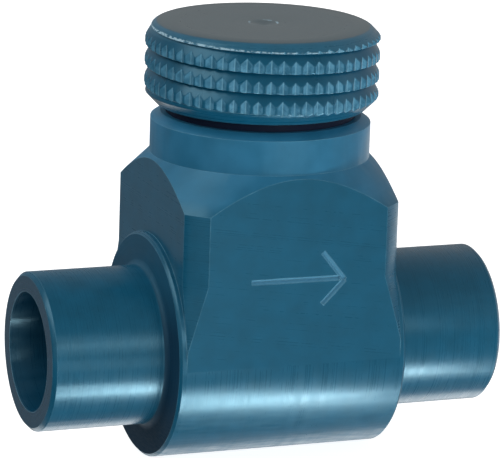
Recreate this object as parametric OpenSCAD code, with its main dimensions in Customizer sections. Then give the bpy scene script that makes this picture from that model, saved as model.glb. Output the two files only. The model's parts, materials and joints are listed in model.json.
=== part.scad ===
// Flow control valve: in-line throttling valve with plain pipe spigots and a knurled hand knob.
// Millimetres. Flow runs along +X. The stem stands along +Z.
// Origin: below the crossing of the two axes, on the lowest line of the round boss.

/* [Pipe spigots] */
// Outside diameter of both spigots
spigot_od = 20; // [19.8:0.1:20.2]
// Bore of both spigots
spigot_bore_d = 15; // [14:0.5:16]
// Length of the valve from spigot end to spigot end
overall_len = 60; // [56:1:80]

/* [Body] */
// Width across the flats, also the diameter of the round boss
body_w = 28.4; // [28:0.1:29]
// Length of the round boss along the flow axis
boss_len = 30.1; // [29.5:0.1:32]
// Diameter to which the corners of the block are turned
corner_d = 36.8; // [36:0.1:38]
// Diameter of the neck
neck_d = 27.6; // [27.2:0.1:28]
// Height of the neck's top face above the flow axis
neck_top_h = 29.1; // [29:0.1:29.2]
// Depth of the engraved flow arrow
arrow_depth = 0.35; // [0.2:0.05:0.5]

/* [Hand knob] */
// Diameter over the knurled crests
knob_d = 29.4; // [29:0.1:30]
// Height of the knob
knob_h = 10.2; // [10:0.1:12]
// Number of knurl grooves round the knob
knurl_count = 60; // [40:1:64]
// Distance between two knurled rings
ring_pitch = 2.51; // [2.4:0.01:2.6]

/* [Trim] */
// Diameter of the orifice in the seat
orifice_d = 7.5; // [6:0.25:7.5]
// Lift of the plug from closed to fully open
plug_lift = 4; // [2:0.5:4]

/* [Hidden] */
$fn = 96;
eps = 0.01;
run_fit = 0.05;      // radial clearance of every running fit
cut = 1;             // how far a cutting tool runs past the face it starts from

half_w = body_w / 2;
axis_z = half_w;     // height of the flow axis above the origin
spigot_r = spigot_od / 2;
bore_r = spigot_bore_d / 2;
corner_r = corner_d / 2;
neck_r = neck_d / 2;

// Heights above the flow axis: the outside of the body
flare_low_h = 2.2;       // the corner flare has grown to the full square corner
flare_high_h = 10.6;     // the turned corner strip ends and the flare starts
shoulder_h = 19.4;       // the turned corner strip ends and the top cone starts
neck_base_h = shoulder_h + corner_r - neck_r;   // 45 degree cone
neck_chamfer_h = 0.8;    // height of the bevel round the neck's top edge
neck_chamfer_w = 1.2;    // its width
spigot_chamfer = 0.5;
spigot_fillet = 0.8;
boss_chamfer = 0.35;
arrow_width = 0.65;

// Flow passages
bore_end_x = boss_len / 2;   // the bores stop level with the boss faces
port_r = 2.8;            // end radius of the slot-shaped ports
port_half = 1.8;         // half the distance between their two end centres
port_h = 4;              // the inlet port lies this far below the flow axis, the outlet port above
chamber_r = 9;
chamber_floor_h = 1.2;
seat_pocket_r = 6;
seat_groove_r = 5.3;     // floor of the O-ring groove round the seat insert
seat_groove_h = [0.2, 0.9];
orifice_r = orifice_d / 2;

// Bonnet and everything in it
bonnet_r = 10.5;
bonnet_low_h = 18.5;
bonnet_top_h = neck_top_h - 0.1;
bonnet_groove_r = 9.4;   // floor of the O-ring groove round the bonnet
bonnet_groove_h = [19.3, 20.7];
stem_r = 3;
o_ring_bore_r = 4.5;
o_ring_low_h = 20;
washer_r = 5.4;
collar_bore_r = 5.6;
washer_low_h = 24.3;
washer_t = 0.5;
collar_low_h = washer_low_h + washer_t + run_fit;
collar_r = 5;
collar_t = 1.2;
gland_low_h = collar_low_h + collar_t + run_fit + washer_t;
gland_r = 7.4;
stem_o_ring_t = 1.4;     // squeezed height of one stem O-ring
spacer_t = washer_low_h - o_ring_low_h - 2 * stem_o_ring_t;

// Plug, closed
seat_lip_h = 2.2;
seal_low_h = seat_lip_h + run_fit;
seal_t = 1.15;
plug_low_h = seal_low_h + seal_t;
plug_head_h = 2.1;
flange_low_h = 11.8;
plug_top_h = bonnet_low_h - plug_lift - 0.2;
flange_r = 8.6;
pin_r = 1;
pin_orbit = 6.6;
pin_low_h = flange_low_h - 0.3;
pin_top_h = o_ring_low_h + 0.4;
shank_r = 1.5;           // threaded shank of the plug nose
shank_top_h = plug_low_h + 2.4;
stem_low_h = 10.6;
ring_groove_r = 8.1;     // floor of the guide ring's groove round the plug
ring_low_h = flange_low_h + 0.6;
ring_groove_t = 1.2;

// Knob
knob_low_h = 30.25;
knob_top_h = knob_low_h + knob_h;
knob_r = knob_d / 2;
knob_foot_r = 13.2;
knob_face_r = 13.45;
first_ring_h = knob_top_h - 0.7;
ring_count = 4;
ring_crest_h = 0.96;     // height of a ring's crest above the valley below it
ring_edge_h = 0.32;      // height of its bevelled lower edge
ring_valley = 0.83;      // depth of the valleys; the upper flank of a ring falls back to it in a straight line
foot_step = 0.2;         // how far the band below the last ring stands back
knurl_depth = 0.32;
knurl_share = 0.82;      // share of the knurl pitch that a groove takes up
knurl_phase = 1;         // angle from +X to the first groove
insert_r = 5.5;
insert_low_h = 30.6;
insert_top_h = 38.2;
screw_r = 1.5;
screw_h = 34.9;
screw_angles = [45, 135];
flat_depth = 0.5;

body_blue = "#2d5f7c";
seal_black = "#1c1f22";
steel_grey = "#b4b8bc";
brass_gold = "#c2a24c";
ptfe_white = "#e8e6de";

// ---- shared shapes ----

// Lifts a shape that is drawn about the flow axis into the part's frame
module on_axis() {
    translate([0, 0, axis_z]) children();
}

// A round bar or hole along Z between two heights above the flow axis
module post(r, low, high) {
    translate([0, 0, low]) cylinder(r = r, h = high - low);
}

// A flat ring along Z between two heights
module washer(r_in, r_out, low, high) {
    difference() {
        post(r_out, low, high);
        post(r_in, low - cut, high + cut);
    }
}

// A ring of round cord: radius of its centre circle, radius of the cord, height of its centre
module o_ring(r_mid, r_cord, h) {
    translate([0, 0, h]) rotate_extrude() translate([r_mid, 0]) circle(r = r_cord);
}

// An O-ring that fills the gap between two radii, halfway up a groove
module groove_ring(r_in, r_out, groove_h) {
    o_ring((r_in + r_out) / 2, (r_out - r_in) / 2 - eps, (groove_h[0] + groove_h[1]) / 2);
}

// Turned shape about the flow axis; the outline is given as radius against +X
module turned_x() {
    rotate([0, 90, 0]) rotate([0, 0, 90]) rotate_extrude() children();
}

// A slot-shaped port along X between two places, centred on height h
module port(x_low, x_high, h) {
    for (side = [-1, 1])
        translate([x_low, side * port_half, h]) rotate([0, 90, 0]) cylinder(r = port_r, h = x_high - x_low);
    translate([x_low, -port_half, h - port_r]) cube([x_high - x_low, 2 * port_half, 2 * port_r]);
}

// ---- body ----

// Half of the round parts, from the middle of the valve to one spigot end, as radius against length
module spigot_outline() {
    half_len = overall_len / 2;
    half_boss = boss_len / 2;
    polygon([[0, 0], [half_w, 0], [half_w, half_boss - boss_chamfer], [half_w - boss_chamfer, half_boss],
             [0, half_boss]]);
    polygon([[0, 0], [spigot_r, 0], [spigot_r, half_len - spigot_chamfer],
             [spigot_r - spigot_chamfer, half_len], [0, half_len]]);
    difference() {
        translate([spigot_r - eps, half_boss - eps]) square(spigot_fillet + eps);
        translate([spigot_r + spigot_fillet, half_boss + spigot_fillet]) circle(r = spigot_fillet);
    }
}

// Envelope that the block and the neck are turned to about the stem axis
module turned_envelope() {
    full_corner = half_w * sqrt(2) + eps;
    rotate_extrude()
        polygon([[0, 0], [full_corner, 0], [full_corner, flare_low_h], [corner_r, flare_high_h],
                 [corner_r, shoulder_h], [neck_r, neck_base_h], [neck_r, neck_top_h - neck_chamfer_h],
                 [neck_r - neck_chamfer_w, neck_top_h], [0, neck_top_h]]);
}

// A V-shaped groove, cut into the front flat between two places given as [x, height]
module arrow_stroke(from, to) {
    run = to - from;
    mouth = arrow_width / 2 * (arrow_depth + cut) / arrow_depth;
    translate([from[0], -half_w, from[1]]) rotate([90, 0, 0]) rotate([0, 0, atan2(run[1], run[0])])
        translate([0, 0, -arrow_depth]) rotate([90, 0, 90]) linear_extrude(norm(run))
            polygon([[0, 0], [mouth, arrow_depth + cut], [-mouth, arrow_depth + cut]]);
}

module flow_arrow() {
    tip = [6.25, 10.56];
    arrow_stroke([-6.03, 10.87], [5.6, 10.84]);
    arrow_stroke([3.3, 14.17], tip);
    arrow_stroke([3.38, 7.63], tip);
}

module flow_passages() {
    for (end = [0, 1])
        mirror([end, 0, 0]) rotate([0, 90, 0]) post(bore_r, bore_end_x, overall_len / 2 + cut);
    port(-bore_end_x - cut, orifice_r, -port_h);
    port(0, bore_end_x + cut, port_h);
    post(orifice_r, -port_h, chamber_floor_h);
    post(seat_pocket_r, 0, chamber_floor_h + cut);
    post(chamber_r, chamber_floor_h, bonnet_low_h + cut);
    post(bonnet_r, bonnet_low_h, neck_top_h + cut);
}

module valve_body() {
    color(body_blue) on_axis() difference() {
        union() {
            turned_x() spigot_outline();
            mirror([1, 0, 0]) turned_x() spigot_outline();
            intersection() {
                translate([-half_w, -half_w, 0]) cube([body_w, body_w, neck_top_h]);
                turned_envelope();
            }
        }
        flow_passages();
        flow_arrow();
    }
}

// ---- fixed trim ----

module seat_insert() {
    lip_low_r = 5.4;
    lip_top_r = 4.9;
    notch_w = 1.6;           // notches for the driver that screws the seat in
    notch_orbit = 5;
    notch_depth = 1;
    color(ptfe_white) on_axis() difference() {
        union() {
            post(seat_pocket_r, 0, chamber_floor_h);
            translate([0, 0, chamber_floor_h])
                cylinder(r1 = lip_low_r, r2 = lip_top_r, h = seat_lip_h - chamber_floor_h);
        }
        post(orifice_r, -cut, seat_lip_h + cut);
        washer(seat_groove_r, seat_pocket_r + cut, seat_groove_h[0], seat_groove_h[1]);
        for (side = [-1, 1])
            translate([side * notch_orbit - notch_w / 2, -notch_w / 2, seat_lip_h - notch_depth])
                cube([notch_w, notch_w, notch_depth + cut]);
    }
}

module seat_o_ring() {
    color(seal_black) on_axis() groove_ring(seat_groove_r, seat_pocket_r, seat_groove_h);
}

module bonnet() {
    edge = 0.4;
    key_orbit = 9;           // blind holes for a pin spanner
    key_r = 0.8;
    key_depth = 1.5;
    color(body_blue) on_axis() difference() {
        rotate_extrude()
            polygon([[0, bonnet_low_h], [bonnet_r - edge, bonnet_low_h], [bonnet_r, bonnet_low_h + edge],
                     [bonnet_r, bonnet_top_h - edge], [bonnet_r - edge, bonnet_top_h], [0, bonnet_top_h]]);
        washer(bonnet_groove_r, bonnet_r + cut, bonnet_groove_h[0], bonnet_groove_h[1]);
        post(stem_r + run_fit, bonnet_low_h - cut, o_ring_low_h + cut);
        post(o_ring_bore_r, o_ring_low_h, washer_low_h + cut);
        post(collar_bore_r, washer_low_h, gland_low_h + cut);
        post(gland_r, gland_low_h, bonnet_top_h + cut);
        for (side = [-1, 1]) {
            translate([0, side * pin_orbit, 0]) post(pin_r, bonnet_low_h - cut, pin_top_h);
            translate([side * key_orbit, 0, 0]) post(key_r, bonnet_top_h - key_depth, bonnet_top_h + cut);
        }
    }
}

module bonnet_o_ring() {
    color(seal_black) on_axis() groove_ring(bonnet_groove_r, bonnet_r, bonnet_groove_h);
}

module lower_stem_o_ring() {
    color(seal_black) on_axis()
        groove_ring(stem_r + run_fit, o_ring_bore_r, [o_ring_low_h, o_ring_low_h + stem_o_ring_t + run_fit]);
}

module stem_spacer_ring() {
    low = o_ring_low_h + stem_o_ring_t + run_fit;
    color(ptfe_white) on_axis() washer(stem_r + run_fit, o_ring_bore_r, low, low + spacer_t - 2 * run_fit);
}

module upper_stem_o_ring() {
    color(seal_black) on_axis()
        groove_ring(stem_r + run_fit, o_ring_bore_r, [washer_low_h - stem_o_ring_t - run_fit, washer_low_h]);
}

module lower_thrust_washer() {
    color(ptfe_white) on_axis()
        washer(stem_r + run_fit, washer_r, washer_low_h, washer_low_h + washer_t);
}

module upper_thrust_washer() {
    color(ptfe_white) on_axis()
        washer(stem_r + run_fit, washer_r, gland_low_h - washer_t, gland_low_h);
}

module gland_nut() {
    key_orbit = 5.4;         // blind holes for a pin spanner
    key_r = 0.7;
    key_depth = 1.2;
    color(steel_grey) on_axis() difference() {
        washer(stem_r + run_fit, gland_r, gland_low_h, bonnet_top_h);
        for (side = [-1, 1])
            translate([side * key_orbit, 0, 0]) post(key_r, bonnet_top_h - key_depth, bonnet_top_h + cut);
    }
}

module dust_ring() {
    ring_in_r = 8;
    ring_out_r = 11.9;
    color(seal_black) on_axis() washer(ring_in_r, ring_out_r, neck_top_h, knob_low_h - run_fit);
}

module guide_pins() {
    color(steel_grey) on_axis() for (side = [-1, 1])
        translate([0, side * pin_orbit, 0]) post(pin_r, pin_low_h, pin_top_h);
}

// ---- sliding plug ----

module throttle_plug() {
    barrel_r = 5.3;
    head_r = 6;
    color(body_blue) on_axis() difference() {
        union() {
            post(head_r, plug_low_h, plug_low_h + plug_head_h);
            post(barrel_r, plug_low_h, plug_top_h);
            post(flange_r, flange_low_h, plug_top_h);
        }
        post(stem_r + run_fit, stem_low_h - plug_lift - 0.2, plug_top_h + cut);
        post(shank_r, plug_low_h - cut, shank_top_h);
        washer(ring_groove_r, flange_r + cut, ring_low_h, ring_low_h + ring_groove_t);
        for (side = [-1, 1])
            translate([0, side * pin_orbit, 0]) post(pin_r + run_fit, flange_low_h - cut, plug_top_h + cut);
    }
}

module plug_seal() {
    seal_r = 5.8;
    color(ptfe_white) on_axis() washer(shank_r, seal_r, seal_low_h, plug_low_h);
}

module plug_nose() {
    nose_r = orifice_r - 0.25;
    tip_low_h = -3.2;
    tip_r = 1.2;
    taper = [[2.5, 0], [nose_r - 0.15, 1.4]];    // where the cone steepens, as radius and height
    color(steel_grey) on_axis() union() {
        post(shank_r, seal_low_h - eps, shank_top_h);
        rotate_extrude()
            polygon([[0, tip_low_h], [tip_r, tip_low_h], each taper, [nose_r, seal_low_h], [0, seal_low_h]]);
    }
}

module plug_guide_ring() {
    color(ptfe_white) on_axis()
        washer(ring_groove_r, chamber_r - run_fit, ring_low_h, ring_low_h + ring_groove_t);
}

// ---- knob and stem ----

module stem() {
    thread_pitch = 1;
    thread_depth = 0.35;
    thread_turns = 7;
    first_groove_h = stem_low_h + 0.3;
    mouth_r = stem_r + 0.1;
    root_r = stem_r - thread_depth;
    color(steel_grey) on_axis() difference() {
        union() {
            post(stem_r, stem_low_h, insert_top_h);
            post(collar_r, collar_low_h, collar_low_h + collar_t);
        }
        for (turn = [0 : thread_turns - 1])
            translate([0, 0, first_groove_h + turn * thread_pitch]) rotate_extrude()
                polygon([[mouth_r, 0], [root_r, 0.4], [root_r, 0.5], [mouth_r, 0.9]]);
        translate([-stem_r, -stem_r - cut, insert_low_h])
            cube([2 * stem_r, flat_depth + cut, insert_top_h - insert_low_h + cut]);
    }
}

// Outline of the knob: a stack of rings, cut by the top bevel and the bottom bevel
module knob_outline() {
    lowest_h = first_ring_h - (ring_count - 1) * ring_pitch - ring_crest_h;
    ring_outline = [[ring_valley * 0.15, ring_edge_h / 2], [0, ring_edge_h], [0, ring_crest_h],
                    [ring_valley, ring_pitch]];    // as depth below the crest and height above the valley
    intersection() {
        polygon([[0, knob_low_h], [knob_r - foot_step, knob_low_h], [knob_r - foot_step, lowest_h],
                 for (ring = [0 : ring_count - 1], place = ring_outline)
                     [knob_r - place[0], lowest_h + ring * ring_pitch + place[1]],
                 [0, lowest_h + ring_count * ring_pitch]]);
        polygon([[0, knob_low_h], [knob_foot_r, knob_low_h], [knob_r, knob_low_h + knob_r - knob_foot_r],
                 [knob_r, knob_top_h - knob_r + knob_face_r], [knob_face_r, knob_top_h], [0, knob_top_h]]);
    }
}

// Star-shaped prism whose notches leave the straight knurl
module knurl_prism() {
    past = 0.4;
    outer = knob_r + past;
    root = knob_r - knurl_depth;
    step = 360 / knurl_count;
    half_notch = step * knurl_share / 2 * (1 + past / knurl_depth);
    half_used = min(half_notch, step / 2 * 0.98);
    notch_r = root + (outer - root) * half_used / half_notch;
    translate([0, 0, knob_low_h - cut]) linear_extrude(knob_h + 2 * cut)
        polygon([for (i = [0 : knurl_count - 1], k = [-1, 0, 1])
                 let (a = knurl_phase + i * step + k * half_used, r = k == 0 ? root : notch_r)
                     [r * cos(a), r * sin(a)]]);
}

module screw_places() {
    for (angle = screw_angles)
        rotate([0, 0, angle]) translate([0, 0, screw_h]) rotate([0, 90, 0]) children();
}

module hand_knob() {
    dimple_r = 1.9;
    dimple_depth = 0.35;
    color(body_blue) on_axis() difference() {
        intersection() {
            rotate_extrude() knob_outline();
            knurl_prism();
        }
        post(insert_r, knob_low_h - cut, insert_top_h);
        translate([0, 0, knob_top_h - dimple_depth])
            cylinder(r1 = 0, r2 = dimple_r, h = dimple_depth + eps);
        screw_places() cylinder(r = screw_r, h = knob_r + cut);
    }
}

module knob_insert() {
    color(brass_gold) on_axis() difference() {
        post(insert_r, insert_low_h, insert_top_h);
        difference() {
            post(stem_r, insert_low_h - cut, insert_top_h + cut);
            translate([-stem_r, -stem_r - cut, insert_low_h - 2 * cut])
                cube([2 * stem_r, flat_depth + cut, insert_top_h]);
        }
        screw_places() cylinder(r = screw_r, h = insert_r + cut);
    }
}

module set_screws() {
    screw_len = 6;
    socket_d = 1.5;
    socket_depth = 1.5;
    color(steel_grey) on_axis() screw_places() translate([0, 0, stem_r]) difference() {
        cylinder(r = screw_r, h = screw_len);
        translate([0, 0, screw_len - socket_depth]) cylinder(d = socket_d, h = socket_depth + cut, $fn = 6);
    }
}

valve_body();
seat_insert();
seat_o_ring();
bonnet();
bonnet_o_ring();
lower_stem_o_ring();
stem_spacer_ring();
upper_stem_o_ring();
lower_thrust_washer();
upper_thrust_washer();
gland_nut();
dust_ring();
guide_pins();
throttle_plug();
plug_seal();
plug_nose();
plug_guide_ring();
stem();
hand_knob();
knob_insert();
set_screws();
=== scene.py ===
"""Looks of the flow control valve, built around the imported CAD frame. Metres, +Z up, flow along +X."""
import json
import math

import bmesh
import bpy
from mathutils import Matrix, Vector


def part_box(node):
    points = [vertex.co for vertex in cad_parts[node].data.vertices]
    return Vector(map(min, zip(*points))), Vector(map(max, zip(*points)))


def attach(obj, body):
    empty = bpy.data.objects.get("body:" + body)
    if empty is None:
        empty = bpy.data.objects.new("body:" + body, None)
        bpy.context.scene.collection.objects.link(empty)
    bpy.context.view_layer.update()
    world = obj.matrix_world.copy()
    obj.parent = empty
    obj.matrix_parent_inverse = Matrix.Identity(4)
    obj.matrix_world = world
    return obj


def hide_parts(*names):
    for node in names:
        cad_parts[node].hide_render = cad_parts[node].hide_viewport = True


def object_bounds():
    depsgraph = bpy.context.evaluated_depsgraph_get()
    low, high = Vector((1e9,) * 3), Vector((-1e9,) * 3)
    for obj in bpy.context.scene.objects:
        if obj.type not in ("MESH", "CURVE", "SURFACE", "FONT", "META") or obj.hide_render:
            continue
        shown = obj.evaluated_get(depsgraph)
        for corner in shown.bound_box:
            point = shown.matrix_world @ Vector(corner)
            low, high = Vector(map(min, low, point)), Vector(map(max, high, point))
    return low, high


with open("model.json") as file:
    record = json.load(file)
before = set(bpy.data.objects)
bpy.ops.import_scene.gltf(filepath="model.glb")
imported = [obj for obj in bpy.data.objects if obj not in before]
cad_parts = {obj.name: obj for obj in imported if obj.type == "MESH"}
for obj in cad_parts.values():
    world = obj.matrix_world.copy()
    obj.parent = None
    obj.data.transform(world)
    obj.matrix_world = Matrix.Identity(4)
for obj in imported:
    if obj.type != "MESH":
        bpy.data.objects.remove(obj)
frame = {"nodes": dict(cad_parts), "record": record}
cad_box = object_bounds()
NODES = frame["nodes"]
MM = 0.001

# ---- places taken from the frame ----

body_lo, body_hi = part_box("valve_body")
knob_lo, knob_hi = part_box("hand_knob")
insert_lo, insert_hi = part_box("knob_insert")
HALF_W = (body_hi.y - body_lo.y) / 2
AXIS_Z = HALF_W
KNOB_R = (knob_hi.x - knob_lo.x) / 2 - 0.01 * MM
KNOB_LOW = knob_lo.z
KNOB_TOP = knob_hi.z
SPIGOT_END = body_hi.x
BORE = next(mount for mount in frame["record"]["mounts"] if mount["name"] == "outlet_bore")
BORE_R = BORE["dims"]["r_mm"] * MM
BOSS_END = SPIGOT_END - BORE["dims"]["length_mm"] * MM      # the bores stop level with the boss faces
SPIGOT = next(mount for mount in frame["record"]["mounts"] if mount["name"] == "outlet_spigot")
SPIGOT_R = SPIGOT["dims"]["r_mm"] * MM

# ---- knob shape ----

KNURLS = 60                 # grooves round the knob
RING_PITCH = 2.51 * MM      # rise of the knurled bead in one turn
VALLEY_ANGLE = -21.65       # direction, in degrees, in which a valley below the bead lies at VALLEY_DROP
VALLEY_DROP = 4.31 * MM     # that valley's depth below the top face
CREST_H = 0.96 * MM         # height of the bead's crest above the valley below it
EDGE_H = 0.32 * MM          # height of its rounded lower edge
FLANK_SLOPE = 0.6           # how fast its upper flank falls back
CREST_ROUND = 0.1 * MM
GROOVE_DEPTH = 0.34 * MM    # mean depth of the knurl grooves
GROOVE_SWELL = 0.04 * MM    # slow change of that depth along the spiral
GROOVE_JITTER = 0.03 * MM   # change from one groove to the next
GROOVE_SLOPE = 0.4 * MM     # rise of a groove's flank over half a knurl pitch
KNURL_PHASE = 1             # direction of the first groove, in degrees
LAST_TURN = 800             # place along the spiral, in degrees, where the bead starts to run out
RUN_OUT = 100               # angle over which it does
RUN_OUT_SHARE = 0.25        # part of the valley's depth that is left below the last turn
FOOT_R = 13.2 * MM
FACE_R = 13.45 * MM
FACE_EDGE = 0.3 * MM        # height of the rounding between the top face and its bevel
GROOVE_BLEND = 0.05 * MM    # rounding along the edges of the grooves
BEVEL_BLEND = 0.06 * MM     # rounding where the top bevel meets the bead
FOOT_BLEND = 0.1 * MM       # rounding where the bottom bevel meets the bead
MARK_EDGE = 0.03 * MM       # depth over which a groove's colour fades in
BURR_HEIGHT = 0.28 * MM     # height of the burred strip on the bead's lower edge
DIMPLE_R = 1.9 * MM
DIMPLE_DEPTH = 0.35 * MM
COLUMNS = 12                # mesh columns for each knurl groove
EDGE_ROWS = 8               # mesh rows over the bead's lower edge
FLANK_ROWS = 26             # mesh rows over the rest of its pitch


def soft_min(a, b, k):
    """The smaller of a and b, blended over a width k."""
    h = max(k - abs(a - b), 0.0) / k
    return min(a, b) - h * h * k / 4


def flank_depth(above_crest):
    """Depth of the bead's upper flank below its crest."""
    return math.hypot(FLANK_SLOPE * above_crest, CREST_ROUND) - CREST_ROUND


def valley_share(along):
    """Part of the full valley depth at a place along the spiral, in degrees."""
    return 1 - (1 - RUN_OUT_SHARE) * min(max((along - LAST_TURN) / RUN_OUT, 0.0), 1.0)


def bead_depth(above_valley, along):
    """Depth of the bead's skin below its crest: rounded lower edge, straight face, long upper flank."""
    if above_valley >= EDGE_H:
        return flank_depth(max(above_valley - CREST_H, 0.0)) * valley_share(along)
    drop = 1 - above_valley / EDGE_H
    return flank_depth(RING_PITCH - CREST_H) * valley_share(along + 360) * (1 - math.sqrt(1 - drop ** 2))


def valley_height(degrees):
    """Height of one turn of the valley between the bead's turns."""
    return KNOB_TOP - VALLEY_DROP - RING_PITCH * (degrees - VALLEY_ANGLE) / 360


def knob_skin(angle, height):
    """Radius of the knurled side at an angle (radians) and a height, with two marks for the material.
    The first is 0 on plain skin, 1 on a groove's flanks and 2 in its bottom. The second is 1 on the burr
    where the top bevel cuts into the bead."""
    degrees = math.degrees(angle)
    turn, above = divmod(height - valley_height(degrees), RING_PITCH)
    place = degrees - 360 * turn
    bead = KNOB_R - bead_depth(above, place)
    steps = (degrees - KNURL_PHASE) / 360 * KNURLS
    off_groove = abs(steps - round(steps)) * 2
    depth = GROOVE_DEPTH + GROOVE_SWELL * math.sin(math.radians(2.3 * place))
    depth += GROOVE_JITTER * math.sin(2.4 * (round(steps) - KNURLS * turn))
    if place > LAST_TURN:
        depth = 0.0
    groove = KNOB_R - depth + GROOVE_SLOPE * off_groove
    below_top = KNOB_TOP - height
    bevel = FACE_R + below_top - 0.8 * FACE_EDGE * max(1 - below_top / FACE_EDGE, 0.0) ** 2
    foot = FOOT_R + (height - KNOB_LOW)
    knurl = min(max((min(bead, bevel, foot) - groove) / MARK_EDGE, 0.0), 1.0)
    if off_groove * COLUMNS < 1:
        knurl *= 2
    valley = KNOB_R - flank_depth(RING_PITCH - CREST_H)
    burr = 1.0 if valley + GROOVE_BLEND < bevel < bead and above < BURR_HEIGHT else 0.0
    radius = soft_min(soft_min(bead, groove, GROOVE_BLEND), bevel, BEVEL_BLEND)
    return soft_min(radius, foot, FOOT_BLEND), knurl, burr


def finish_mesh(name, bm, sharp_degrees=35):
    """Makes an object of a bmesh: one closed skin, smooth but for edges sharper than the given angle."""
    bmesh.ops.remove_doubles(bm, verts=bm.verts, dist=0.002 * MM)
    bmesh.ops.recalc_face_normals(bm, faces=bm.faces)
    limit = math.radians(sharp_degrees)
    for face in bm.faces:
        face.smooth = True
    for edge in bm.edges:
        edge.smooth = len(edge.link_faces) == 2 and edge.calc_face_angle(0) < limit
    mesh = bpy.data.meshes.new(name)
    bm.to_mesh(mesh)
    bm.free()
    obj = bpy.data.objects.new(name, mesh)
    bpy.context.scene.collection.objects.link(obj)
    return obj


def add_rings(bm, rings, segments):
    """Skins a lathe: rings are (radius, height) pairs, from the outer rim inwards."""
    loops = []
    for radius, height in rings:
        loops.append([bm.verts.new((radius * math.cos(a), radius * math.sin(a), height))
                      for a in (2 * math.pi * i / segments for i in range(segments))])
    for low, high in zip(loops, loops[1:]):
        for i in range(segments):
            j = (i + 1) % segments
            bm.faces.new((low[i], low[j], high[j], high[i]))
    bm.faces.new(loops[-1])


def knob_mesh():
    """The knob: a side whose mesh rows follow the spiral bead, a dimpled top face and the hub pocket."""
    bm = bmesh.new()
    knurl_mark = bm.verts.layers.float.new("knurl")
    burr_mark = bm.verts.layers.float.new("burr")
    segments = KNURLS * COLUMNS
    steps = [EDGE_H * i / EDGE_ROWS for i in range(EDGE_ROWS)]
    steps += [EDGE_H + (RING_PITCH - EDGE_H) * i / FLANK_ROWS for i in range(FLANK_ROWS)]
    first = math.floor((KNOB_LOW - valley_height(0)) / RING_PITCH)
    last = math.ceil((KNOB_TOP - valley_height(360)) / RING_PITCH)
    rises = [turn * RING_PITCH + step for turn in range(first, last + 1) for step in steps]
    grid = []
    for i in range(segments + 1):
        angle = 2 * math.pi * i / segments
        column = []
        for rise in rises:
            height = min(max(valley_height(math.degrees(angle)) + rise, KNOB_LOW), KNOB_TOP)
            radius, knurl, burr = knob_skin(angle, height)
            if height == KNOB_LOW:
                radius = FOOT_R
            vert = bm.verts.new((radius * math.cos(angle), radius * math.sin(angle), height))
            vert[knurl_mark] = knurl
            vert[burr_mark] = burr
            column.append(vert)
        grid.append(column)
    for i in range(segments):
        for j in range(len(rises) - 1):
            quad = (grid[i][j], grid[i + 1][j], grid[i + 1][j + 1], grid[i][j + 1])
            if len({vert.co.z for vert in quad}) > 1:
                bm.faces.new(quad)
    rim_r = FACE_R - 0.8 * FACE_EDGE
    face = [(rim_r, KNOB_TOP), (FACE_R * 0.8, KNOB_TOP), (FACE_R * 0.5, KNOB_TOP), (DIMPLE_R * 1.1, KNOB_TOP),
            (DIMPLE_R, KNOB_TOP - 0.01 * MM), (DIMPLE_R * 0.6, KNOB_TOP - DIMPLE_DEPTH * 0.4),
            (DIMPLE_R * 0.15, KNOB_TOP - DIMPLE_DEPTH * 0.87)]
    add_rings(bm, face, segments)
    pocket_r = (insert_hi.x - insert_lo.x) / 2
    add_rings(bm, [(FOOT_R, KNOB_LOW), (pocket_r + 0.1 * MM, KNOB_LOW), (pocket_r, KNOB_LOW + 0.1 * MM),
                   (pocket_r, insert_hi.z)], segments)
    return finish_mesh("knob_grip", bm)


def drill(obj, direction_degrees, height, radius):
    """Cuts a radial hole through the knob's side, and applies the cut to the mesh."""
    bm = bmesh.new()
    bmesh.ops.create_cone(bm, cap_ends=True, segments=48, radius1=radius, radius2=radius, depth=KNOB_R * 1.2)
    turn = Matrix.Rotation(math.radians(direction_degrees), 4, "Z") @ Matrix.Rotation(math.pi / 2, 4, "Y")
    bm.transform(Matrix.Translation((0, 0, height)) @ turn @ Matrix.Translation((0, 0, KNOB_R * 0.85)))
    cutter = finish_mesh("cutter", bm)
    cut = obj.modifiers.new("hole", "BOOLEAN")
    cut.object = cutter
    cut.operation = "DIFFERENCE"
    cut.solver = "EXACT"
    apply_modifiers(obj)
    bpy.data.objects.remove(cutter)


def apply_modifiers(obj):
    """Bakes an object's modifiers into its mesh."""
    evaluated = obj.evaluated_get(bpy.context.evaluated_depsgraph_get())
    mesh = bpy.data.meshes.new_from_object(evaluated)
    obj.modifiers.clear()
    obj.data = mesh


# ---- materials ----

def new_material(name, base, roughness, metallic=0.0, coat=0.0):
    """A material with constant values on its shader's sockets; returns it, its tree and its shader."""
    material = bpy.data.materials.new(name)
    material.use_nodes = True
    tree = material.node_tree
    shader = tree.nodes["Principled BSDF"]
    shader.inputs["Base Color"].default_value = (*base, 1)
    shader.inputs["Roughness"].default_value = roughness
    shader.inputs["Metallic"].default_value = metallic
    shader.inputs["Coat Weight"].default_value = coat
    return material, tree, shader


def math_node(tree, operation, a, b=None, c=None):
    """A Math node; each operand is a number or an output socket."""
    node = tree.nodes.new("ShaderNodeMath")
    node.operation = operation
    for socket, value in zip(node.inputs, (a, b, c)):
        if value is None:
            continue
        if isinstance(value, (int, float)):
            socket.default_value = value
        else:
            tree.links.new(value, socket)
    return node.outputs[0]


def coordinates(tree, centre=(0, 0, 0)):
    """Object-space x, y and z in millimetres from a centre given in metres."""
    where = tree.nodes.new("ShaderNodeTexCoord")
    shift = tree.nodes.new("ShaderNodeVectorMath")
    shift.operation = "SUBTRACT"
    shift.inputs[1].default_value = centre
    tree.links.new(where.outputs["Object"], shift.inputs[0])
    scale = tree.nodes.new("ShaderNodeVectorMath")
    scale.operation = "SCALE"
    scale.inputs["Scale"].default_value = 1 / MM
    tree.links.new(shift.outputs[0], scale.inputs[0])
    split = tree.nodes.new("ShaderNodeSeparateXYZ")
    tree.links.new(scale.outputs[0], split.inputs[0])
    return scale.outputs[0], split.outputs[0], split.outputs[1], split.outputs[2]


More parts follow.
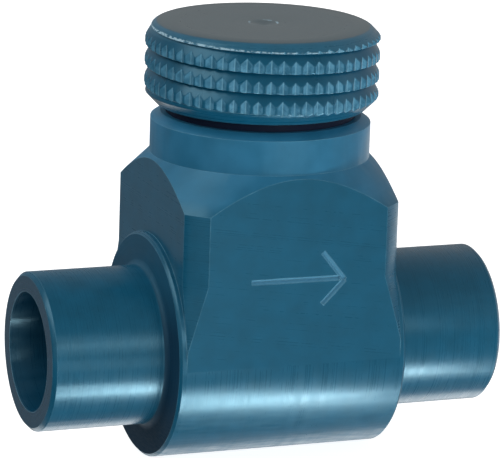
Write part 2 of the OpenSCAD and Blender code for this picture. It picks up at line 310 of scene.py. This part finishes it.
def distance(tree, a, b):
    """Length of the vector (a, b)."""
    return math_node(tree, "SQRT", math_node(tree, "ADD", math_node(tree, "MULTIPLY", a, a),
                                             math_node(tree, "MULTIPLY", b, b)))


def line_noise(tree, position, per_mm, detail=2.0):
    """One-dimensional noise along a position in millimetres, 0 to 1."""
    noise = tree.nodes.new("ShaderNodeTexNoise")
    noise.noise_dimensions = "1D"
    noise.inputs["Scale"].default_value = per_mm
    noise.inputs["Detail"].default_value = detail
    tree.links.new(position, noise.inputs["W"])
    return noise.outputs[0]


def cloud_noise(tree, vector, per_mm, detail=3.0):
    """Three-dimensional noise, 0 to 1."""
    noise = tree.nodes.new("ShaderNodeTexNoise")
    noise.inputs["Scale"].default_value = per_mm
    noise.inputs["Detail"].default_value = detail
    tree.links.new(vector, noise.inputs["Vector"])
    return noise.outputs[0]


def ramp(tree, value, low, high, to_low=0.0, to_high=1.0):
    """Maps a value from one range to another, clamped."""
    node = tree.nodes.new("ShaderNodeMapRange")
    for socket, number in zip(("From Min", "From Max", "To Min", "To Max"), (low, high, to_low, to_high)):
        node.inputs[socket].default_value = number
    tree.links.new(value, node.inputs["Value"])
    return node.outputs[0]


def blend(tree, factor, a, b):
    """Mix of two values by a factor socket."""
    node = tree.nodes.new("ShaderNodeMix")
    tree.links.new(factor, node.inputs[0])
    for socket, value in zip((node.inputs[2], node.inputs[3]), (a, b)):
        if isinstance(value, (int, float)):
            socket.default_value = value
        else:
            tree.links.new(value, socket)
    return node.outputs[0]


def colour_mix(tree, factor, a, b):
    """Mix of two colours by a factor socket; a colour is a triple or a socket."""
    node = tree.nodes.new("ShaderNodeMix")
    node.data_type = "RGBA"
    tree.links.new(factor, node.inputs[0])
    for socket, value in zip((node.inputs[6], node.inputs[7]), (a, b)):
        if isinstance(value, tuple):
            socket.default_value = (*value, 1)
        else:
            tree.links.new(value, socket)
    return node.outputs[2]


def edge_mask(tree, radius):
    """1 on edges, 0 on open surface, from how far a rounded normal leans from the true one."""
    bevel = tree.nodes.new("ShaderNodeBevel")
    bevel.samples = 6
    bevel.inputs["Radius"].default_value = radius
    normal = tree.nodes.new("ShaderNodeNewGeometry")
    dot = tree.nodes.new("ShaderNodeVectorMath")
    dot.operation = "DOT_PRODUCT"
    tree.links.new(bevel.outputs[0], dot.inputs[0])
    tree.links.new(normal.outputs["Normal"], dot.inputs[1])
    return ramp(tree, dot.outputs["Value"], 0.995, 0.9)


def bump(tree, shader, height, distance_m, strength=1.0):
    """Feeds a height to the shader's normal."""
    node = tree.nodes.new("ShaderNodeBump")
    node.inputs["Strength"].default_value = strength
    node.inputs["Distance"].default_value = distance_m
    tree.links.new(height, node.inputs["Height"])
    tree.links.new(node.outputs[0], shader.inputs["Normal"])


def attribute(tree, name):
    """A number stored at the mesh's points."""
    node = tree.nodes.new("ShaderNodeAttribute")
    node.attribute_name = name
    return node.outputs["Fac"]


def multiply(tree, *factors):
    """Product of sockets and numbers."""
    product = factors[0]
    for factor in factors[1:]:
        product = math_node(tree, "MULTIPLY", product, factor)
    return product


def invert(tree, value):
    """One minus a value."""
    return math_node(tree, "SUBTRACT", 1.0, value)


def above(tree, value, low):
    """1 where a value is larger than a number, else 0."""
    return math_node(tree, "GREATER_THAN", value, low)


def below(tree, value, high):
    """1 where a value is smaller than a number, else 0."""
    return math_node(tree, "LESS_THAN", value, high)


def between(tree, value, low, high):
    """1 where a value lies between two numbers, else 0."""
    return multiply(tree, above(tree, value, low), below(tree, value, high))


PVC = (0.0035, 0.089, 0.168)           # linear colours of the plastic
PVC_DARK = (0.0025, 0.070, 0.131)      # darker parts of its mottling
PVC_TURNED_SHEEN = (0.020, 0.155, 0.285)     # painted sheen: neck and cone lightened to stand for the light their fine turning marks spread
PVC_WEAR_AND_GLINT = (0.16, 0.37, 0.50)          # rubbed edges, partly painted highlight along them, and painted highlights on the knob's top bevel and groove bottoms
PVC_PAINTED_SHADE = (0.0015, 0.022, 0.055)  # painted shade: darkening of the end faces of the boss and spigots, and of the bores
PVC_CUT = (0.085, 0.265, 0.40)         # engraved or knurled skin
PVC_TOP_REFLECTION = (0.085, 0.10, 0.10)         # painted reflection: grey standing for the surroundings mirrored in the knob's top face
PVC_BURR_AND_RIM_GLINT = (0.34, 0.52, 0.62)          # raised flecks along the knob's cut edges, and a painted highlight on the dimple's rim
PVC_SHEEN = (0.45, 0.84, 1.0, 1)       # tint of its mirror reflection, seen face on
NECK_CONE_H = (19.0, 21.0)             # millimetres above the flow axis where the neck's painted sheen and extra roughness fade in


def body_zones(tree, place, x, y, z):
    """Where each finish, painted sheen and painted shade of the valve body lies, as 0 to 1. Places are
    millimetres from the flow axis.
    """
    half_w = HALF_W / MM
    boss_end = BOSS_END / MM
    along = math_node(tree, "ABSOLUTE", x)
    across = distance(tree, y, z)
    turned_x = math_node(tree, "MAXIMUM", above(tree, along, half_w + 0.02), below(tree, z, -0.05))
    side = math_node(tree, "MAXIMUM", along, math_node(tree, "ABSOLUTE", y))
    flat = multiply(tree, above(tree, side, half_w - 0.02), invert(tree, turned_x))
    near_front = between(tree, math_node(tree, "ADD", y, half_w), 0.03, 0.56)
    bore = multiply(tree, above(tree, along, boss_end - 0.05), below(tree, across, BORE_R / MM + 0.1))
    end_face = between(tree, along, SPIGOT_END / MM - 0.05, SPIGOT_END / MM + 0.1)
    clouds = ramp(tree, cloud_noise(tree, place, 0.3), 0.35, 0.65, 0.65, 1.0)
    return {
        "turned_x": turned_x,
        "flat": flat,
        "low_mark": math_node(tree, "MAXIMUM", flat, above(tree, z, NECK_CONE_H[0])),
        "neck": multiply(tree, ramp(tree, z, *NECK_CONE_H), invert(tree, flat), clouds),
        "arrow": multiply(tree, near_front, between(tree, z, 6.0, 16.0), between(tree, x, -8.0, 8.0)),
        "shoulder": multiply(tree, between(tree, along, boss_end - 0.15, boss_end + 0.55),
                             between(tree, across, SPIGOT_R / MM + 0.02, half_w - 0.4)),
        "inside": math_node(tree, "MAXIMUM", bore, end_face),
        "boss": multiply(tree, ramp(tree, z, -4.0, -9.0), below(tree, along, boss_end + 0.35)),
    }


def body_colour(tree, colour, z, zones):
    """Adds to the mottled plastic a painted sheen on the neck and cone, painted shade on the end faces of the
    boss and spigots and in the bores, and the engraved arrow.
    """
    # painted sheen: the neck and cone are lightened in patches
    colour = colour_mix(tree, zones["neck"], colour, PVC_TURNED_SHEEN)
    # painted shade on the boss's end faces, darker towards the bottom
    shoulder = multiply(tree, zones["shoulder"], ramp(tree, z, 10.0, 4.0, 0.3, 0.9))
    colour = colour_mix(tree, shoulder, colour, PVC_PAINTED_SHADE)
    # painted shade in the bores and on the spigots' end faces
    colour = colour_mix(tree, multiply(tree, zones["inside"], 0.55), colour, PVC_PAINTED_SHADE)
    return colour_mix(tree, zones["arrow"], colour, PVC_CUT)


def body_roughness(tree, place, roughness, zones):
    """Adds wiping marks along the boss, and dulls the neck and the boss's end faces."""
    stretch = tree.nodes.new("ShaderNodeVectorMath")
    stretch.operation = "MULTIPLY"
    stretch.inputs[1].default_value = (0.4, 1.0, 6.0)
    tree.links.new(place, stretch.inputs[0])
    wipes = ramp(tree, cloud_noise(tree, stretch.outputs[0], 0.8), 0.35, 0.65, 0.03, 0.17)
    roughness = math_node(tree, "MULTIPLY_ADD", wipes, zones["boss"], roughness)
    roughness = math_node(tree, "MULTIPLY_ADD", zones["neck"], 0.15, roughness)
    return math_node(tree, "MULTIPLY_ADD", zones["shoulder"], 0.3, roughness)


def knob_top_zone(tree, x, y, z):
    """1 on the knob's top face and in its dimple, else 0."""
    inside_rim = ramp(tree, distance(tree, x, y), FACE_R / MM, FACE_R / MM - 0.25)
    return multiply(tree, inside_rim, above(tree, z, (KNOB_TOP - DIMPLE_DEPTH - AXIS_Z) / MM - 0.01))


def knob_colour(tree, colour, place, x, y, z, top):
    """Adds to the mottled plastic a painted reflection on the knob's top, painted highlights on its top
    bevel, dimple rim and groove bottoms, the cut skin of the knurl grooves and the burr.
    """
    top_h = (KNOB_TOP - AXIS_Z) / MM
    dimple_r = DIMPLE_R / MM
    # painted reflection: the top face turns grey
    colour = colour_mix(tree, multiply(tree, top, 0.8), colour, PVC_TOP_REFLECTION)
    # painted highlight: the top bevel is lightened a little
    bevel = math_node(tree, "SUBTRACT", ramp(tree, z, top_h - 1.3, top_h - 1.1), top)
    colour = colour_mix(tree, multiply(tree, math_node(tree, "MAXIMUM", bevel, 0.0), 0.12), colour, PVC_WEAR_AND_GLINT)
    # painted highlight: the dimple's rim is lightened in patches
    rim = between(tree, distance(tree, x, y), dimple_r - 0.25, dimple_r)
    dimple_rim_glint = ramp(tree, cloud_noise(tree, place, 0.6), 0.5, 0.58, 0.0, 0.8)
    colour = colour_mix(tree, multiply(tree, rim, top, dimple_rim_glint), colour, PVC_BURR_AND_RIM_GLINT)
    knurl = attribute(tree, "knurl")
    chips = ramp(tree, cloud_noise(tree, place, 1.2), 0.4, 0.6, 0.35, 0.9)
    colour = colour_mix(tree, multiply(tree, ramp(tree, knurl, 0.0, 1.0), chips), colour, PVC_CUT)
    # painted highlight: groove bottoms, marked 2, lightened to stand for the light they reflect
    colour = colour_mix(tree, ramp(tree, knurl, 1.0, 2.0, 0.0, 0.85), colour, PVC_WEAR_AND_GLINT)
    flecks = ramp(tree, cloud_noise(tree, place, 2.2), 0.42, 0.55)
    return colour_mix(tree, multiply(tree, attribute(tree, "burr"), flecks), colour, PVC_BURR_AND_RIM_GLINT)


def pvc_material(name, lathe_axis, edge_width):
    """Turned rigid PVC. lathe_axis is "z", or "body" where spigots and boss are turned about X as well."""
    material, tree, shader = new_material(name, PVC, 0.3)
    shader.inputs["IOR"].default_value = 1.55
    shader.inputs["Specular Tint"].default_value = PVC_SHEEN
    place, x, y, z = coordinates(tree, (0, 0, AXIS_Z))
    tool_path = math_node(tree, "MULTIPLY_ADD", distance(tree, x, y), 1.7, z)
    if lathe_axis == "body":
        zones = body_zones(tree, place, x, y, z)
        about_x = math_node(tree, "ADD", x, distance(tree, y, z))
        milled = math_node(tree, "MULTIPLY_ADD", x, 0.15, z)
        tool_path = blend(tree, zones["turned_x"], tool_path, about_x)
        tool_path = blend(tree, zones["flat"], tool_path, milled)
        mark = blend(tree, zones["low_mark"], 1.0, 0.4)
    else:
        top = knob_top_zone(tree, x, y, z)
        mark = ramp(tree, top, 0.0, 1.0, 1.0, 0.25)
    patches = ramp(tree, cloud_noise(tree, place, 0.8), 0.35, 0.65, 0.1, 0.9)
    fine = math_node(tree, "SUBTRACT", line_noise(tree, tool_path, 5.0), 0.5)
    coarse = math_node(tree, "MULTIPLY_ADD", line_noise(tree, tool_path, 0.9, 1.0), 0.35, 0.325)
    rings = math_node(tree, "ADD", coarse, multiply(tree, fine, patches))
    rings = math_node(tree, "MULTIPLY_ADD", math_node(tree, "SUBTRACT", rings, 0.5), mark, 0.5)
    mottle = cloud_noise(tree, place, 0.45)
    shade = math_node(tree, "MULTIPLY_ADD", mottle, 0.75, multiply(tree, rings, 0.25))
    colour = colour_mix(tree, ramp(tree, shade, 0.3, 0.7), PVC_DARK, PVC)
    roughness = ramp(tree, rings, 0.25, 0.75, 0.22, 0.36)
    # edges lightened in patches: partly rubbed wear, partly painted highlight along the edges
    edge_scuff_and_glint = multiply(tree, edge_mask(tree, edge_width), ramp(tree, mottle, 0.3, 0.7, 0.35, 1.0))
    if lathe_axis == "body":
        colour = body_colour(tree, colour, z, zones)
        roughness = body_roughness(tree, place, roughness, zones)
        edge_scuff_and_glint = multiply(tree, edge_scuff_and_glint, invert(tree, zones["shoulder"]))
    else:
        colour = knob_colour(tree, colour, place, x, y, z, top)
    tree.links.new(colour_mix(tree, edge_scuff_and_glint, colour, PVC_WEAR_AND_GLINT), shader.inputs["Base Color"])
    tree.links.new(roughness, shader.inputs["Roughness"])
    bump(tree, shader, math_node(tree, "MULTIPLY_ADD", cloud_noise(tree, place, 2.5), 0.3, rings), 0.006 * MM)
    return material


def rubber_material():
    """Matt black moulded rubber, tinted blue-black: partly the rubber's own colour, partly painted shade in
    the gap under the knob where the dust ring shows.
    """
    material, tree, shader = new_material("seal_rubber", (0.001, 0.008, 0.03), 0.6)
    shader.inputs["Specular IOR Level"].default_value = 0.2
    place = coordinates(tree)[0]
    grain = cloud_noise(tree, place, 6.0)
    tree.links.new(ramp(tree, grain, 0.3, 0.7, 0.5, 0.72), shader.inputs["Roughness"])
    bump(tree, shader, grain, 0.01 * MM)
    return material


def ptfe_material():
    """Waxy white PTFE with faint turning rings."""
    material, tree, shader = new_material("ptfe", (0.78, 0.77, 0.73), 0.42)
    shader.inputs["Subsurface Weight"].default_value = 0.1
    shader.inputs["Subsurface Radius"].default_value = (0.5 * MM, 0.5 * MM, 0.5 * MM)
    place, x, y, z = coordinates(tree)
    rings = line_noise(tree, math_node(tree, "ADD", distance(tree, x, y), z), 6.0)
    tree.links.new(ramp(tree, rings, 0.3, 0.7, 0.36, 0.5), shader.inputs["Roughness"])
    bump(tree, shader, rings, 0.004 * MM)
    return material


def metal_material(name, base, roughness):
    """Turned metal with fine rings about the stem axis."""
    material, tree, shader = new_material(name, base, roughness, metallic=1.0)
    place, x, y, z = coordinates(tree)
    rings = line_noise(tree, math_node(tree, "MULTIPLY_ADD", distance(tree, x, y), 1.7, z), 12.0)
    tree.links.new(ramp(tree, rings, 0.3, 0.7, roughness * 0.75, roughness * 1.3), shader.inputs["Roughness"])
    colour = colour_mix(tree, ramp(tree, cloud_noise(tree, place, 1.0), 0.35, 0.65),
                        tuple(c * 0.85 for c in base), base)
    tree.links.new(colour, shader.inputs["Base Color"])
    bump(tree, shader, rings, 0.003 * MM)
    return material


MATERIALS = {
    "body_pvc": pvc_material("body_pvc", "body", 0.18 * MM),
    "knob_pvc": pvc_material("knob_pvc", "z", 0.1 * MM),
    "inner_pvc": pvc_material("inner_pvc", "z", 0.1 * MM),
    "seal_rubber": rubber_material(),
    "ptfe": ptfe_material(),
    "steel": metal_material("steel", (0.56, 0.57, 0.58), 0.28),
    "brass": metal_material("brass", (0.72, 0.52, 0.22), 0.3),
}


def dress(obj, material):
    """Gives an object one material on every slot."""
    if not obj.material_slots:
        obj.data.materials.append(material)
    for place in obj.material_slots:
        place.link = "OBJECT"
        place.material = material


def soften(obj, width):
    """Rounds an object's edges a little, as machined and handled edges are."""
    weld = obj.modifiers.new("weld", "WELD")
    weld.merge_threshold = 0.0005 * MM
    bevel = obj.modifiers.new("soft edges", "BEVEL")
    bevel.width = width
    bevel.segments = 2
    bevel.limit_method = "ANGLE"
    bevel.angle_limit = math.radians(28)
    bevel.harden_normals = True


# ---- pieces ----

BODY_EDGE = 0.15 * MM       # rounding of the body's edges
SCREW_R = 1.5 * MM
SCREW_ANGLES = (45, 135)

for entry in frame["record"]["subparts"]:
    dress(NODES[entry["node"]], MATERIALS[entry["material_slot"]])
soften(NODES["valve_body"], BODY_EDGE)

knob = knob_mesh()
screw_z = (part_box("set_screws")[0].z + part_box("set_screws")[1].z) / 2
for angle in SCREW_ANGLES:
    drill(knob, angle, screw_z, SCREW_R)
dress(knob, MATERIALS["knob_pvc"])
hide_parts("hand_knob")
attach(knob, "knob")

# ---- stage, light and camera ----

def studio_light(name, azimuth, elevation, size, power, diffuse=True, glossy=True):
    """A soft light that faces the valve from LIGHT_FAR away; azimuth 0 is the front, 90 the right."""
    across, up = math.radians(azimuth), math.radians(elevation)
    direction = Vector((math.sin(across) * math.cos(up), -math.cos(across) * math.cos(up), math.sin(up)))
    data = bpy.data.lights.new(name, "AREA")
    data.shape = "RECTANGLE"
    data.size, data.size_y = size
    data.energy = power
    light = bpy.data.objects.new(name, data)
    bpy.context.scene.collection.objects.link(light)
    light.location = LIGHT_AIM + direction * LIGHT_FAR
    light.rotation_euler = (-direction).to_track_quat("-Z", "Y").to_euler()
    light.visible_camera = False
    light.visible_diffuse = diffuse
    light.visible_glossy = glossy


def make_floor():
    """A pale floor that curves up into a wall all round, seen by the camera only."""
    bm = bmesh.new()
    rings = [(FLOOR_R, WALL_H), (FLOOR_R, FLOOR_CURVE_R)]
    for step in range(1, FLOOR_STEPS + 1):
        turn = math.radians(90 * step / FLOOR_STEPS)
        rings.append((FLOOR_R - FLOOR_CURVE_R * (1 - math.cos(turn)), FLOOR_CURVE_R * (1 - math.sin(turn))))
    add_rings(bm, rings, 96)
    floor = finish_mesh("floor", bm)
    floor.location.z = cad_box[0].z - 0.05 * MM
    for kind in ("diffuse", "glossy", "transmission", "volume_scatter", "shadow"):
        setattr(floor, "visible_" + kind, False)
    material, tree, shader = new_material("floor", (0.5, 0.5, 0.5), 0.9)
    shader.inputs["Specular IOR Level"].default_value = 0.1
    shader.inputs["Emission Color"].default_value = (1, 1, 1, 1)
    shader.inputs["Emission Strength"].default_value = 0.9
    dress(floor, material)


def make_camera():
    """Camera at the valve's front left, a little above it, far back with a long lens."""
    azimuth, elevation, roll = (math.radians(v) for v in (CAMERA_AZIMUTH, CAMERA_ELEVATION, CAMERA_ROLL))
    back = Vector((math.sin(azimuth) * math.cos(elevation), -math.cos(azimuth) * math.cos(elevation),
                   math.sin(elevation)))
    data = bpy.data.cameras.new("camera")
    data.sensor_width = 36
    data.lens = CAMERA_LENS
    data.clip_start = 0.01
    data.clip_end = 20
    camera = bpy.data.objects.new("camera", data)
    bpy.context.scene.collection.objects.link(camera)
    camera.location = CAMERA_AIM + back * CAMERA_FAR
    camera.rotation_mode = "QUATERNION"
    tilt = Matrix.Rotation(roll, 3, "Z").to_quaternion()
    camera.rotation_quaternion = (-back).to_track_quat("-Z", "Y") @ tilt
    bpy.context.scene.camera = camera


def make_world():
    """Soft neutral surroundings, brighter on some sides than on others."""
    world = bpy.data.worlds.new("world")
    world.use_nodes = True
    tree = world.node_tree
    where = tree.nodes.new("ShaderNodeTexCoord")
    split = tree.nodes.new("ShaderNodeSeparateXYZ")
    tree.links.new(where.outputs["Generated"], split.inputs[0])
    total = math_node(tree, "ADD", WORLD_LEVEL, 0.0)
    for axis, (toward, away) in enumerate(WORLD_SIDES):
        side = split.outputs[axis]
        total = math_node(tree, "MULTIPLY_ADD", math_node(tree, "MAXIMUM", side, 0.0), toward, total)
        total = math_node(tree, "MULTIPLY_ADD", math_node(tree, "MINIMUM", side, 0.0), -away, total)
    background = tree.nodes["Background"]
    background.inputs["Color"].default_value = (1, 1, 1, 1)
    tree.links.new(total, background.inputs["Strength"])
    bpy.context.scene.world = world


FLOOR_R = 2.5
FLOOR_CURVE_R = 0.8
FLOOR_STEPS = 12
WALL_H = 3.0
CAMERA_AZIMUTH = -21.65     # degrees from the front, positive to the right
CAMERA_ELEVATION = 13.74
CAMERA_ROLL = 1.88
CAMERA_AIM = Vector((-0.0009, 0, 0.0282))
CAMERA_FAR = 0.5253
CAMERA_LENS = 300.4
WORLD_LEVEL = 0.02
WORLD_SIDES = ((0.30, 0.03), (0.17, 0.19), (0.22, 0.10))    # added towards +X, -X; +Y, -Y; +Z, -Z
LIGHT_AIM = Vector((0, 0, 0.028))
LIGHT_FAR = 0.6
make_floor()
make_camera()
make_world()
studio_light("low right", 28, -50, (0.3, 0.1), 1.0)
studio_light("low right glint", 30, -50, (0.35, 0.1), 1.15, diffuse=False)
studio_light("low", 10, -53, (0.6, 0.08), 1.3)
studio_light("low glint", 10, -54, (0.6, 0.08), 1.1, diffuse=False)
studio_light("front", 8, 15, (0.5, 0.15), 0.76)
studio_light("middle", 2, -12, (0.3, 0.12), 0.24)
studio_light("front left", -60, 12, (0.5, 0.4), 0.32)
studio_light("left", -90, 45, (0.4, 0.4), 1.4)
studio_light("right", 70, 15, (0.4, 0.4), 0.3)
studio_light("back right", 125, -12, (0.4, 0.2), 0.25)
studio_light("back low", 165, -48, (0.6, 0.3), 0.9)
studio_light("back", 190, 20, (0.5, 0.4), 1.8, glossy=False)
bpy.context.scene.view_settings.view_transform = "Standard"
